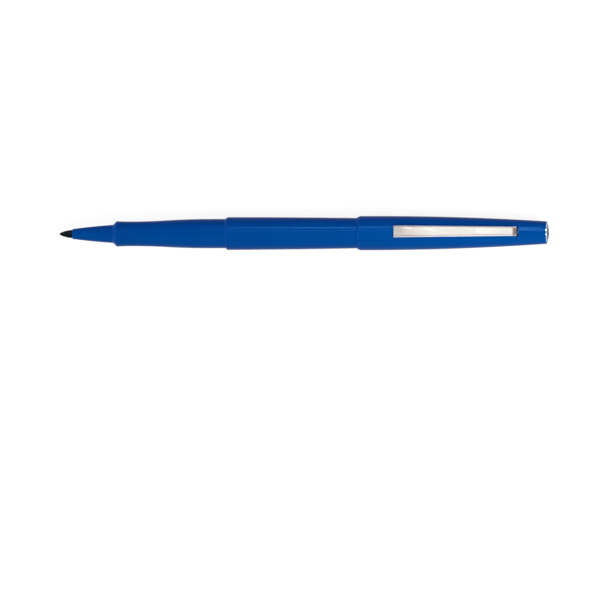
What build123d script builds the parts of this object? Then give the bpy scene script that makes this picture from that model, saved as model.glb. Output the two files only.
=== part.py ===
from build123d import *
from math import asin, atan2, cos, degrees, hypot, sin, sqrt, tan
import os

# Fibre-tip pen, uncapped, with its cap posted on the tail of the barrel.
# Millimetres. The origin is the writing tip, +X runs along the pen to the closed end of the cap,
# and +Z goes up through the clip. Every round piece is turned about the X axis.

# Nib: a fibre rod with a blunt point and a slim tail
nib_diameter = 2.5
nib_reach = 4.0
nib_tip_radius = 0.42
nib_tip_angle = 25
nib_engagement = 11.1
nib_tail_diameter = 1.3
nib_tail_length = 3.0

# Nib sleeve: grips the nib and lets air past it through flutes
sleeve_setback = 5.5
sleeve_flange_distance = 7.1
sleeve_flange_thickness = 1.2
sleeve_wall = 0.45
sleeve_flute_radius = 0.18
sleeve_flute_count = 4

# Front section: nose cone, sealing shoulder, waisted grip and the land that the cap slides over
nose_rim_wall = 0.26
nose_rim_round = 0.14
nose_length = 12.4
nose_base_wall = 1.04
nose_bulge = 0.1
shoulder_length = 1.2
shoulder_rise = 0.11
shoulder_round = 0.2
waist_distance = 5.6
waist_depth = 0.71
flare_turn_share = 0.46
land_length = 5.2
section_length = 34.65
section_tenon_length = 8.0
section_tenon_wall = 0.65
tenon_lead = 0.3

# Snap ring on the front section's tenon, with its groove in the barrel
snap_setback = 2.0
snap_width = 1.0
snap_height = 0.12

# Ink reservoir and the film wrapped round it
reservoir_diameter = 5.8
film_thickness = 0.15
film_slack = 0.02

# Barrel: a moulded tube that tapers to its tail
barrel_length = 73.25
barrel_tail_wall = 0.65
barrel_tail_round = 0.3
barrel_seat_rise = 0.7
barrel_front_rise = 0.38
barrel_lip_length = 0.6
barrel_lip_face = 0.12
barrel_lip_round = 0.4
step_height = 0.55
rib_height = 0.2
rib_width = 0.6
rib_count = 6

# End plug: closes the tail of the barrel and holds the reservoir forward
plug_head_thickness = 0.7
plug_head_overlap = 0.32
plug_head_round = 0.25
plug_skirt_length = 5.0
plug_skirt_wall = 0.8
plug_floor = 1.4
plug_dimple_radius = 0.8
plug_dimple_depth = 0.25

# Cap shell: a straight mouth, then one long arc down to the closed end
cap_wall = 0.53
cap_lip_length = 0.85
cap_lip_face = 0.12
cap_lip_round = 0.5
cap_straight_length = 4.6
cap_end_web = 1.25
cap_end_rim = 0.25
cap_end_round = 0.15

# Cap liner: the inner cup that closes round the nose when the pen is capped
liner_wall = 0.4
liner_flange_thickness = 0.7
liner_seal_share = 0.5
liner_wide_length = 7.5
liner_cone_length = 2.5
liner_nose_room = 0.6
liner_tip_room = 0.9
liner_end_wall = 0.5

# Cap jewel: the bright domed button in the cap's end
jewel_radius = 3.16
jewel_seat_depth = 0.35
jewel_edge_height = 0.1
jewel_dome_height = 0.6
jewel_stem_radius = 1.6
jewel_stem_length = 3.75

# Clip: a stamped spring strip whose tang drops through a slot in the cap
clip_length = 37.75
clip_free_width = 3.65
clip_root_width = 2.9
clip_thickness = 0.45
clip_edge_height = 0.19
clip_bevel_width = 0.34
clip_panel_wall = 0.24
clip_panel_depth = 0.1
clip_setback = 8.5
clip_bend_radius = 1.2
clip_kink_radius = 2.5
clip_foot_length = 3.0
clip_root_gap = 0.9
clip_free_gap = 0.5

# Fits
nib_clearance = 0.03
press_gap = 0.02
slip_gap = 0.05
seat_gap = 0.1
post_clearance = 0.06
post_gap = 0.45
tang_clearance = 0.13
tang_room = 0.4
clip_rest_gap = 0.1
cut_overrun = 1.0

# Radii worked outwards from the nib
nib_radius = nib_diameter / 2
nib_tail_radius = nib_tail_diameter / 2
nib_bore = nib_radius + nib_clearance
sleeve_radius = nib_bore + sleeve_wall
sleeve_socket = sleeve_radius + press_gap
nose_rim_radius = nib_bore + nose_rim_wall
nose_base_radius = sleeve_socket + nose_base_wall

# Radii worked outwards from the reservoir
reservoir_radius = reservoir_diameter / 2
film_radius = reservoir_radius + film_thickness
section_bore = film_radius + seat_gap
section_tenon_radius = section_bore + section_tenon_wall
barrel_socket = section_tenon_radius + press_gap
barrel_bore = film_radius + slip_gap + rib_height
barrel_tail_radius = barrel_bore + barrel_tail_wall
barrel_seat_radius = barrel_tail_radius + barrel_seat_rise
barrel_front_radius = barrel_seat_radius + barrel_front_rise
land_radius = barrel_front_radius - step_height
waist_radius = land_radius - waist_depth
shoulder_radius = waist_radius + shoulder_rise
plug_skirt_radius = barrel_bore - press_gap
plug_head_radius = plug_skirt_radius + plug_head_overlap

# Radii of the cap: its bore fits the barrel, its liner fits the nose
seal_radius = nose_base_radius + liner_seal_share * (shoulder_radius - nose_base_radius)
liner_wide_radius = seal_radius + liner_wall
liner_nose_radius = nose_rim_radius + liner_nose_room
liner_tail_radius = liner_nose_radius + liner_wall
cap_mouth_radius = barrel_seat_radius + post_clearance
cap_radius = cap_mouth_radius + cap_wall
jewel_pocket_radius = jewel_radius + slip_gap
cap_end_radius = jewel_pocket_radius + cap_end_rim
stem_bore = jewel_stem_radius + press_gap
liner_pocket_radius = liner_wide_radius + slip_gap
tail_pocket_radius = liner_tail_radius + tang_room

# Stations along the pen, from the writing tip
rim_x = nib_reach
foot_x = rim_x + nose_length
shoulder_x = foot_x + shoulder_length
waist_x = foot_x + waist_distance
step_x = foot_x + section_length
land_x = step_x - land_length
sleeve_x = rim_x + sleeve_setback
flange_x = foot_x + sleeve_flange_distance
flange_end_x = flange_x + sleeve_flange_thickness
reservoir_x = flange_end_x + seat_gap
nib_end_x = reservoir_x + nib_engagement
nib_tail_x = nib_end_x - nib_tail_length
tenon_end_x = step_x + section_tenon_length
snap_end_x = tenon_end_x - snap_setback
snap_x = snap_end_x - snap_width
socket_end_x = tenon_end_x + seat_gap
lip_x = step_x + barrel_lip_length
tail_x = step_x + barrel_length
skirt_x = tail_x - plug_skirt_length
reservoir_end_x = skirt_x - seat_gap
plug_end_x = tail_x + plug_head_thickness
plug_floor_x = plug_end_x - plug_floor

# Posted, the liner's mouth stops just short of the plug. Capped, it would meet the shoulder.
seal_offset = liner_seal_share * shoulder_length
seal_x = plug_end_x + post_gap
mouth_x = seal_x - (section_length - seal_offset)
cap_lip_x = mouth_x + cap_lip_length
taper_x = mouth_x + cap_straight_length
liner_seat_x = seal_x + liner_flange_thickness
liner_cone_x = seal_x + liner_wide_length
liner_nose_x = liner_cone_x + liner_cone_length
liner_floor_x = seal_x + seal_offset + nose_length + nib_reach + liner_tip_room
liner_end_x = liner_floor_x + liner_end_wall
pocket_end_x = liner_end_x + seat_gap
stem_bore_x = pocket_end_x + cap_end_web
stem_x = stem_bore_x + seat_gap
jewel_seat_x = stem_x + jewel_stem_length
cap_end_x = jewel_seat_x + jewel_seat_depth
tang_x = cap_end_x - clip_setback

# The cap's long arc leaves the straight mouth without a corner and ends at the jewel
taper_run = cap_end_x - taper_x
taper_drop = cap_radius - cap_end_radius
taper_arc_radius = (taper_run**2 + taper_drop**2) / (2 * taper_drop)


def cap_radius_at(x, inset):
    """Radius of the cap's wall at station x, taken inset below its outer face."""
    run = max(x - taper_x, 0)
    arc_radius = taper_arc_radius - inset
    return cap_radius - taper_arc_radius + sqrt(arc_radius**2 - run**2)


def corner(profile, x, radius):
    """The profile's corner nearest to a station and a radius."""
    return profile.vertices().sort_by_distance((x, radius))[0]


# Nib
with BuildPart() as nib:
    with BuildSketch(Plane.XZ):
        with BuildLine():
            ball = CenterArc((nib_tip_radius, 0), nib_tip_radius, 180, nib_tip_angle - 90)
            flank = TangentArc(ball @ 1, (rim_x, nib_radius), tangent=ball % 1)
            Polyline(
                flank @ 1,
                (nib_tail_x, nib_radius),
                (nib_end_x, nib_tail_radius),
                (nib_end_x, 0),
                ball @ 0,
            )
        make_face()
    revolve(axis=Axis.X)

# Nib sleeve: a flanged tube with air flutes along its bore
with BuildPart() as nib_sleeve:
    with BuildSketch(Plane.XZ):
        with BuildLine():
            Polyline(
                (sleeve_x, nib_bore),
                (sleeve_x, sleeve_radius),
                (flange_x, sleeve_radius),
                (flange_x, section_bore - slip_gap),
                (flange_end_x, section_bore - slip_gap),
                (flange_end_x, nib_bore),
                close=True,
            )
        make_face()
    revolve(axis=Axis.X)
    with BuildSketch(Plane.YZ.offset(sleeve_x)):
        with PolarLocations(nib_bore, sleeve_flute_count):
            Circle(sleeve_flute_radius)
    extrude(amount=flange_end_x - sleeve_x, mode=Mode.SUBTRACT)

# Front section: one moulding from the nose rim to the tenon inside the barrel
with BuildPart() as front_section:
    nose_middle = ((rim_x + foot_x) / 2, (nose_rim_radius + nose_base_radius) / 2 + nose_bulge)
    waist = Vector(waist_x, waist_radius)
    land = Vector(land_x, land_radius)
    flare_turn = waist + (land - waist) * flare_turn_share
    with BuildSketch(Plane.XZ) as section_profile:
        with BuildLine():
            rim = Line((rim_x, nib_bore), (rim_x, nose_rim_radius))
            nose = ThreePointArc(rim @ 1, nose_middle, (foot_x, nose_base_radius))
            shoulder = Line(nose @ 1, (shoulder_x, shoulder_radius))
            TangentArc(waist, shoulder @ 1, tangent=(-1, 0))
            hollow = TangentArc(waist, flare_turn, tangent=(1, 0))
            TangentArc(flare_turn, land, tangent=hollow % 1)
            tenon = Polyline(
                land,
                (step_x, land_radius),
                (step_x, section_tenon_radius),
                (snap_x, section_tenon_radius),
            )
            snap = ThreePointArc(
                tenon @ 1,
                ((snap_x + snap_end_x) / 2, section_tenon_radius + snap_height),
                (snap_end_x, section_tenon_radius),
            )
            Polyline(
                snap @ 1,
                (tenon_end_x - tenon_lead, section_tenon_radius),
                (tenon_end_x, section_tenon_radius - tenon_lead),
                (tenon_end_x, section_bore),
                (flange_x, section_bore),
                (flange_x, sleeve_socket),
                (sleeve_x - seat_gap, sleeve_socket),
                (sleeve_x - seat_gap, nib_bore),
                rim @ 0,
            )
        make_face()
        fillet(corner(section_profile, rim_x, nose_rim_radius), min(nose_rim_round, nose_rim_wall / 2))
        fillet(corner(section_profile, shoulder_x, shoulder_radius), shoulder_round)
    revolve(axis=Axis.X)

# Ink reservoir: a fibre core with the pocket that the nib's tail fills
with BuildPart() as ink_reservoir:
    with BuildSketch(Plane.XZ):
        with BuildLine():
            Polyline(
                (reservoir_x, nib_radius + press_gap),
                (reservoir_x, reservoir_radius),
                (reservoir_end_x, reservoir_radius),
                (reservoir_end_x, 0),
                (nib_end_x + seat_gap, 0),
                (nib_end_x + seat_gap, nib_tail_radius + press_gap),
                (nib_tail_x, nib_radius + press_gap),
                close=True,
            )
        make_face()
    revolve(axis=Axis.X)

# Reservoir film: the wrapper that keeps the ink off the barrel
with BuildPart() as reservoir_film:
    with BuildSketch(Plane.YZ.offset(reservoir_x)):
        Circle(film_radius)
        Circle(reservoir_radius + film_slack, mode=Mode.SUBTRACT)
    extrude(amount=reservoir_end_x - reservoir_x)

# Barrel: outer face is one arc through the lip, the cap's seat and the tail
with BuildPart() as barrel:
    with BuildSketch(Plane.XZ) as barrel_profile:
        with BuildLine():
            lip = Polyline(
                (step_x, barrel_socket),
                (step_x, land_radius + barrel_lip_face),
                (lip_x, barrel_front_radius),
            )
            taper = ThreePointArc(
                lip @ 1,
                (mouth_x, barrel_seat_radius),
                (tail_x, barrel_tail_radius),
            )
            socket = Polyline(
                taper @ 1,
                (tail_x, barrel_bore),
                (socket_end_x, barrel_bore),
                (socket_end_x, barrel_socket),
                (snap_end_x + press_gap, barrel_socket),
            )
            groove = ThreePointArc(
                socket @ 1,
                ((snap_x + snap_end_x) / 2, barrel_socket + snap_height),
                (snap_x - press_gap, barrel_socket),
            )
            Line(groove @ 1, lip @ 0)
        make_face()
        fillet(corner(barrel_profile, lip_x, barrel_front_radius), barrel_lip_round)
        tail_corner = corner(barrel_profile, tail_x, barrel_tail_radius)
        fillet(tail_corner, min(barrel_tail_round, barrel_tail_wall / 2))
    revolve(axis=Axis.X)
    with BuildSketch(Plane.YZ.offset(socket_end_x)):
        with PolarLocations(barrel_bore, rib_count):
            Rectangle(2 * rib_height, rib_width)
    extrude(amount=reservoir_end_x - socket_end_x)

# End plug: a flat head outside and a hollow skirt inside the tail
with BuildPart() as end_plug:
    with BuildSketch(Plane.XZ) as plug_profile:
        with BuildLine():
            Polyline(
                (skirt_x, plug_skirt_radius - plug_skirt_wall),
                (skirt_x, plug_skirt_radius),
                (tail_x, plug_skirt_radius),
                (tail_x, plug_head_radius),
                (plug_end_x, plug_head_radius),
                (plug_end_x, plug_dimple_radius),
                (plug_end_x - plug_dimple_depth, 0),
                (plug_floor_x, 0),
                (plug_floor_x, plug_skirt_radius - plug_skirt_wall),
                close=True,
            )
        make_face()
        head_corner = corner(plug_profile, plug_end_x, plug_head_radius)
        fillet(head_corner, min(plug_head_round, plug_head_thickness / 2))
    revolve(axis=Axis.X)

# Cap shell: outer arc, parallel bore for the barrel, stepped pocket for the liner, clip slot
with BuildPart() as cap_shell:
    with BuildSketch(Plane.XZ) as cap_profile:
        with BuildLine():
            mouth = Polyline(
                (taper_x, cap_mouth_radius),
                (mouth_x, cap_mouth_radius),
                (mouth_x, cap_mouth_radius + cap_lip_face),
                (cap_lip_x, cap_radius),
                (taper_x, cap_radius),
            )
            back = TangentArc(mouth @ 1, (cap_end_x, cap_end_radius), tangent=(1, 0))
            ledge = (liner_seat_x, cap_radius_at(liner_seat_x, cap_wall))
            TangentArc(mouth @ 0, ledge, tangent=(1, 0))
            Polyline(
                back @ 1,
                (cap_end_x, jewel_pocket_radius),
                (jewel_seat_x, jewel_pocket_radius),
                (jewel_seat_x, stem_bore),
                (stem_bore_x, stem_bore),
                (stem_bore_x, 0),
                (pocket_end_x, 0),
                (pocket_end_x, tail_pocket_radius),
                (liner_nose_x, tail_pocket_radius),
                (liner_cone_x, liner_pocket_radius),
                (liner_seat_x, liner_pocket_radius),
                ledge,
            )
        make_face()
        fillet(corner(cap_profile, cap_lip_x, cap_radius), cap_lip_round)
        fillet(corner(cap_profile, cap_end_x, cap_end_radius), min(cap_end_round, cap_end_rim / 2))
    revolve(axis=Axis.X)
    with BuildSketch():
        with Locations((tang_x - clip_thickness / 2, 0)):
            Rectangle(clip_thickness + 2 * tang_clearance, clip_root_width + 2 * tang_clearance)
    extrude(amount=cap_radius + cut_overrun, mode=Mode.SUBTRACT)

# Cap liner: a stepped cup held by its flange against the shell's inner ledge
with BuildPart() as cap_liner:
    liner_flange_radius = cap_radius_at(liner_seat_x, cap_wall) - slip_gap
    with BuildSketch(Plane.XZ):
        with BuildLine():
            Polyline(
                (seal_x, seal_radius),
                (seal_x, liner_flange_radius),
                (liner_seat_x, liner_flange_radius),
                (liner_seat_x, liner_wide_radius),
                (liner_cone_x, liner_wide_radius),
                (liner_nose_x, liner_tail_radius),
                (liner_end_x, liner_tail_radius),
                (liner_end_x, 0),
                (liner_floor_x, 0),
                (liner_floor_x, liner_nose_radius),
                (liner_nose_x, liner_nose_radius),
                (liner_cone_x, seal_radius),
                close=True,
            )
        make_face()
    revolve(axis=Axis.X)

# Cap jewel: a domed head on a stem
with BuildPart() as cap_jewel:
    with BuildSketch(Plane.XZ):
        with BuildLine():
            apex = (cap_end_x + jewel_dome_height, 0)
            dome = TangentArc(apex, (cap_end_x + jewel_edge_height, jewel_radius), tangent=(0, 1))
            Polyline(
                dome @ 1,
                (jewel_seat_x, jewel_radius),
                (jewel_seat_x, jewel_stem_radius),
                (stem_x, jewel_stem_radius),
                (stem_x, 0),
                dome @ 0,
            )
        make_face()
    revolve(axis=Axis.X)

# Clip: the tang stands in the slot, the bend turns towards the mouth of the cap,
# the strip rises with the cap's wall and its foot dips back down to rest on it
bend_x = tang_x - clip_thickness - clip_bend_radius
bend_z = cap_radius_at(tang_x, 0) + clip_root_gap - clip_bend_radius
free_x = tang_x - clip_length
kink_x = free_x + clip_foot_length
kink_z = cap_radius_at(kink_x, 0) + clip_free_gap
foot_z = cap_radius_at(free_x, 0) + clip_rest_gap
tang_end_z = liner_tail_radius + tang_room / 2
kink_distance = hypot(bend_x - kink_x, kink_z - bend_z)
rise_angle = atan2(kink_z - bend_z, bend_x - kink_x) - asin(clip_bend_radius / kink_distance)
dip_angle = atan2(kink_z - foot_z, clip_foot_length)
kink_tangent = clip_kink_radius * tan((rise_angle + dip_angle) / 2)
strip_length = sqrt(kink_distance**2 - clip_bend_radius**2) - kink_tangent
foot_length = hypot(clip_foot_length, kink_z - foot_z) - kink_tangent

bend_centre = Vector(bend_x, 0, bend_z)
strip_plane = Plane(
    origin=bend_centre + Vector(sin(rise_angle), 0, cos(rise_angle)) * clip_bend_radius,
    x_dir=(0, -1, 0),
    z_dir=(-cos(rise_angle), 0, sin(rise_angle)),
)
strip_end_plane = strip_plane.offset(strip_length)
kink_centre = strip_end_plane.origin - strip_end_plane.y_dir * clip_kink_radius
foot_plane = Plane(
    origin=kink_centre + Vector(-sin(dip_angle), 0, cos(dip_angle)) * clip_kink_radius,
    x_dir=(0, -1, 0),
    z_dir=(-cos(dip_angle), 0, -sin(dip_angle)),
)
tang_plane = Plane(origin=(bend_x + clip_bend_radius, 0, bend_z), x_dir=(0, 1, 0), z_dir=(0, 0, -1))


def clip_outline(width):
    """Cross-section of the strip: flat underside, both upper edges bevelled, middle pressed down."""
    ridge = width / 2 - clip_bevel_width
    panel = ridge - clip_panel_wall
    Polygon(
        (-width / 2, 0),
        (width / 2, 0),
        (width / 2, clip_edge_height),
        (ridge, clip_thickness),
        (panel, clip_thickness - clip_panel_depth),
        (-panel, clip_thickness - clip_panel_depth),
        (-ridge, clip_thickness),
        (-width / 2, clip_edge_height),
        align=None,
    )


with BuildPart() as clip:
    with BuildSketch(strip_plane):
        clip_outline(clip_root_width)
    with BuildSketch(strip_end_plane):
        clip_outline(clip_free_width)
    loft(ruled=True)
    with BuildSketch(strip_plane):
        clip_outline(clip_root_width)
    revolve(axis=Axis(bend_centre, (0, 1, 0)), revolution_arc=90 - degrees(rise_angle))
    with BuildSketch(tang_plane):
        clip_outline(clip_root_width)
    extrude(amount=bend_z - tang_end_z)
    with BuildSketch(strip_end_plane):
        clip_outline(clip_free_width)
    revolve(axis=Axis(kink_centre, (0, -1, 0)), revolution_arc=degrees(rise_angle + dip_angle))
    with BuildSketch(foot_plane):
        clip_outline(clip_free_width)
    extrude(amount=foot_length)

pieces = {
    "nib": nib,
    "nib_sleeve": nib_sleeve,
    "front_section": front_section,
    "ink_reservoir": ink_reservoir,
    "reservoir_film": reservoir_film,
    "barrel": barrel,
    "end_plug": end_plug,
    "cap_shell": cap_shell,
    "cap_liner": cap_liner,
    "cap_jewel": cap_jewel,
    "clip": clip,
}
os.makedirs("parts", exist_ok=True)
for name, piece in pieces.items():
    piece.part.label = name
    export_step(piece.part, f"parts/{name}.step")
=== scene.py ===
# %% [markdown]
# # A fibre-tip pen with its cap on its tail
# The pen lies uncapped: a dark fibre point, a slim blue body, and a blue cap with a bright metal clip
# pushed on at the back. A imported CAD model gives every piece its place and size. This lesson builds
# the looks round it, piece by piece.

# %% Load the frame
from math import asin, atan2, cos, hypot, pi, radians, sin, sqrt, tan

import bpy
import numpy as np
from mathutils import Matrix, Vector


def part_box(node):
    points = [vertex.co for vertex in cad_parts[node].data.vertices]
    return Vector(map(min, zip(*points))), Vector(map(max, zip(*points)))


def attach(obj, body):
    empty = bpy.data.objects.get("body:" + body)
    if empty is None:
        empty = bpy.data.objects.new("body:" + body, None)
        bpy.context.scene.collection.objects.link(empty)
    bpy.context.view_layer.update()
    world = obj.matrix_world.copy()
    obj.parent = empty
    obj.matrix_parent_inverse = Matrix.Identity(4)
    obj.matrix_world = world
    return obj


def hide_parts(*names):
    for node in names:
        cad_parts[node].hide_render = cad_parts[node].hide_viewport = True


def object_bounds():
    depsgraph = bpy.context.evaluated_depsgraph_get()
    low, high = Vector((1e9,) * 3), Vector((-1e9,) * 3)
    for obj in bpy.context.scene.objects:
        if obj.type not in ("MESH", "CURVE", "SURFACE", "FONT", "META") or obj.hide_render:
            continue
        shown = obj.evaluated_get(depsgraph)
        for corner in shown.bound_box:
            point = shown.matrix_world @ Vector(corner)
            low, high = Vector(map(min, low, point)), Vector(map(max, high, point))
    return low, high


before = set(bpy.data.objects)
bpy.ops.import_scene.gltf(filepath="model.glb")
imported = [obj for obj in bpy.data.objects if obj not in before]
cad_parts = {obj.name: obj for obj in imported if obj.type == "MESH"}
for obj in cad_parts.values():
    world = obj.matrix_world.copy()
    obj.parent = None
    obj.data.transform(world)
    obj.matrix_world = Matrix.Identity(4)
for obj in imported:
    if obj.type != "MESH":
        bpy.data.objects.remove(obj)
cad_low, cad_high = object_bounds()
MM = 0.001
print("CAD box in mm:", [round(v / MM, 2) for v in cad_high - cad_low])

# %% [markdown]
# ## Camera
# The picture was taken from almost straight above with a very long lens, so the pen looks flat-on and
# hardly gets smaller towards either end. The camera stands a little towards the cap's end and a little
# towards the near side. Both lean angles come from how far the clip shifts against the pen's axis. The
# pen's two ends then fix the distance, the aim and the roll: the code looks where they land in the
# image, corrects the camera by the error, and repeats that a few times.

# %% Fit the camera
LEAN_TO_CAP, LEAN_TO_FRONT = radians(6.5), radians(5.0)
LENS, SENSOR = 1000.0, 36.0
IMAGE_SIDE = 600
TIP_PIXEL = np.array([59.7, 234.05])
END_PIXEL = np.array([548.8, 232.6])
FIRST_DISTANCE, CORRECTIONS = 5.0, 5

pen_tip = Vector((cad_low.x, 0, 0))
pen_end = Vector((cad_high.x, 0, 0))
back = Vector((
    sin(LEAN_TO_CAP) * cos(LEAN_TO_FRONT),
    -sin(LEAN_TO_FRONT),
    cos(LEAN_TO_CAP) * cos(LEAN_TO_FRONT),
))
right = Vector((0, 1, 0)).cross(back).normalized()
aim = (pen_tip + pen_end) / 2
distance = FIRST_DISTANCE


def image_of(point):
    """Where a point lands in the image, in pixels from its left upper corner.

    Its offset to the right and down, times the lens over the depth, counted from the middle.
    """
    off = point - (aim + back * distance)
    zoom = LENS / SENSOR * IMAGE_SIDE / -off.dot(back)
    return np.array([off.dot(right), -off.dot(back.cross(right))]) * zoom + IMAGE_SIDE / 2


for _ in range(CORRECTIONS):
    seen = image_of(pen_end) - image_of(pen_tip)
    wanted = END_PIXEL - TIP_PIXEL
    distance *= np.hypot(*seen) / np.hypot(*wanted)
    roll = atan2(wanted[1], wanted[0]) - atan2(seen[1], seen[0])
    right = Matrix.Rotation(roll, 3, back) @ right
    error = (TIP_PIXEL + END_PIXEL - image_of(pen_tip) - image_of(pen_end)) / 2
    pixel = distance * SENSOR / LENS / IMAGE_SIDE
    aim = aim - right * error[0] * pixel + back.cross(right) * error[1] * pixel
print("the ends land at", image_of(pen_tip).round(2), image_of(pen_end).round(2))

# %% [markdown]
# A camera looks along its own -Z axis, with X to the right and Y up in the image. So the three directions
# found above are its axes, and its matrix is those axes with the place it stands at.

# %% Place the camera
camera = bpy.data.objects.new("camera", bpy.data.cameras.new("camera"))
camera.data.lens = LENS
camera.data.sensor_width = SENSOR
axes = Matrix((right, back.cross(right), back)).transposed().to_4x4()
camera.matrix_world = Matrix.Translation(aim + back * distance) @ axes
bpy.context.scene.collection.objects.link(camera)
bpy.context.scene.camera = camera
bpy.context.scene.view_settings.view_transform = "Standard"
print("the camera stands", round(distance, 2), "m away")

# %% [markdown]
# ## Small helpers for node trees
# A material is a graph, and most of its code is adding nodes and joining sockets. One helper does both:
# a plain value is typed into a socket, and a socket given as a value is linked to it.


# %% Node helpers
def add(tree, kind, inputs=(), **settings):
    """Add a shader node. settings are its properties; inputs are values or the sockets that feed them."""
    node = tree.nodes.new("ShaderNode" + kind)
    for name, value in settings.items():
        setattr(node, name, value)
    for name, value in dict(inputs).items():
        if isinstance(value, bpy.types.NodeSocket):
            tree.links.new(value, node.inputs[name])
        else:
            node.inputs[name].default_value = value
    return node


def math(tree, operation, first, second=0.0):
    """One step of arithmetic on two sockets or numbers."""
    return add(tree, "Math", {0: first, 1: second}, operation=operation).outputs[0]


def line(tree, value, factor, offset):
    """A straight line: a value times a factor, plus an offset."""
    return add(tree, "Math", {0: value, 1: factor, 2: offset}, operation="MULTIPLY_ADD").outputs[0]


def ramp(tree, value, low, high, start=0.0, end=1.0):
    """Map a value from low..high to start..end, eased at both ends and held outside them."""
    limits = {"Value": value, 1: low, 2: high, 3: start, 4: end}
    return add(tree, "MapRange", limits, interpolation_type="SMOOTHSTEP").outputs[0]


def blend(tree, factor, first, second):
    """Mix two colours: the first at factor 0, the second at factor 1."""
    node = add(tree, "Mix", {0: factor, 6: first, 7: second}, data_type="RGBA")
    return node.outputs[2]


def colour(red, green, blue):
    """A full, solid colour from its three parts."""
    return (red, green, blue, 1.0)


# %% [markdown]
# ## Floor
# The pen lies on a plain matt sheet, which keeps the soft shadow under the pen. Light is added for rays
# that come from the camera, from a mirror or through something clear. That lifts the sheet to the white
# of the picture's background, and what shines shows it too, without putting any more light on the pen.

# %% Floor
FLOOR_HALF = 3.0
PAPER, LIFT = 0.17, 0.86
floor_mesh = bpy.data.meshes.new("floor")
corner_signs = np.array([(-1, -1), (1, -1), (1, 1), (-1, 1)])
floor_corners = np.c_[corner_signs * FLOOR_HALF, np.full(4, cad_low.z)]
floor_mesh.from_pydata(floor_corners.tolist(), [], [(0, 1, 2, 3)])
floor = bpy.data.objects.new("floor", floor_mesh)
bpy.context.scene.collection.objects.link(floor)

white_sheet = bpy.data.materials.new("white_sheet")
white_sheet.use_nodes = True
sheet = white_sheet.node_tree
sheet.nodes.clear()
path = add(sheet, "LightPath").outputs
lit = math(sheet, "MAXIMUM", path["Is Camera Ray"], path["Is Glossy Ray"])
lit = math(sheet, "MAXIMUM", lit, path["Is Transmission Ray"])
paper = add(sheet, "BsdfDiffuse", {"Color": colour(PAPER, PAPER, PAPER)})
lift = add(sheet, "Emission", {"Color": colour(1, 1, 1), "Strength": math(sheet, "MULTIPLY", lit, LIFT)})
both = add(sheet, "AddShader", {0: paper.outputs[0], 1: lift.outputs[0]})
add(sheet, "OutputMaterial", {"Surface": both.outputs[0]})
floor_mesh.materials.append(white_sheet)
print("floor at", round(cad_low.z / MM, 2), "mm")

# %% [markdown]
# ## Light
# A glossy round rod is a mirror for the whole room, so the room matters more than the lamps. Here the
# room is a pale tent: bright overhead and on the near side, dim and cool on the far side, pale to the
# left, brown and then dark to the right. The near and the far side are angles about the pen's axis,
# measured from straight up. Left and right are how far a direction points along the pen. A picture of a
# real room would do as well, but a few blended tones are easier to understand and to change.

# %% The room
ROOM_TOP = colour(0.86, 0.86, 0.86)
room = bpy.data.worlds.new("room")
bpy.context.scene.world = room
room.use_nodes = True
sky = room.node_tree
sky.nodes.clear()
way = add(sky, "SeparateXYZ", {0: add(sky, "TexCoord").outputs["Generated"]}).outputs
along_pen = way[0]
tilt = math(sky, "ARCTAN2", way[1], way[2])
room_sides = [
    # name, what is measured, where the tone starts, where it is full, and the tone
    ("near side", tilt, radians(-10), radians(-80), colour(1.0, 1.0, 1.0)),
    ("far side", tilt, radians(39), radians(43), colour(0.36, 0.38, 0.54)),
    ("left", along_pen, -0.2, -0.4, colour(0.79, 0.81, 0.86)),
    ("right", along_pen, -0.03, 0.12, colour(0.57, 0.44, 0.40)),
    ("right wall", along_pen, 0.3, 0.44, colour(0.30, 0.28, 0.28)),
]
tone = ROOM_TOP
for _, measure, start, full, shade in room_sides:
    tone = blend(sky, ramp(sky, measure, start, full), tone, shade)
tent = add(sky, "Background", {"Color": tone, "Strength": 1.0})
add(sky, "OutputWorld", {"Surface": tent.outputs[0]})
print("sides of the room:", [side[0] for side in room_sides])

# %% [markdown]
# Three lamps are there only to be mirrored, so they add no matt light. A narrow strip stands at the edge
# of the dim side and makes the thin bright line on the barrel and the cap. Its left end stops short, so
# the grip, which turns away, stays plain. A weaker strip beside it draws a second, fainter line. A panel
# to the right is mirrored only by the last taper of the cap.


# %% Mirrored lamps
def panel(name, from_x, to_x, from_tilt, to_tilt, radiance):
    """A flat lamp that faces the pen's axis, between two stations and two angles from straight up.

    Its width is twice its distance times the tangent of half its angle. Its power is its radiance times
    pi times its area.
    """
    lean = (from_tilt + to_tilt) / 2
    across = 2 * LAMP_DISTANCE * tan((to_tilt - from_tilt) / 2)
    lamp = bpy.data.objects.new(name, bpy.data.lights.new(name, "AREA"))
    lamp.data.shape = "RECTANGLE"
    lamp.data.size = to_x - from_x
    lamp.data.size_y = across
    lamp.data.energy = radiance * pi * lamp.data.size * across
    place = Vector(((from_x + to_x) / 2, LAMP_DISTANCE * sin(lean), LAMP_DISTANCE * cos(lean)))
    lamp.matrix_world = Matrix.Translation(place) @ Matrix.Rotation(-lean, 4, "X")
    lamp.visible_diffuse = False
    bpy.context.scene.collection.objects.link(lamp)
    print(name, "is", round(across / MM), "mm wide")


LAMP_DISTANCE = 0.5
panel("strip", 0.0, 0.125, from_tilt=radians(34.4), to_tilt=radians(37.6), radiance=112.0)
panel("faint_strip", 0.0, 0.17, from_tilt=radians(15), to_tilt=radians(17), radiance=75.0)
panel("side_panel", 0.126, 0.17, from_tilt=radians(12.5), to_tilt=radians(48), radiance=52.0)

# %% [markdown]
# The other three are square lamps. A slightly warm soft box on the near right gives the gentle rise of
# brightness towards the cap. A fill on the left reaches the front faces of the steps, which look away from
# the box. A weak cool fill, low on the far side, keeps the upper edge of the pen a deep blue and not a
# grey one. The two fills are hidden from mirrors, so they leave no spots on the gloss.


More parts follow.
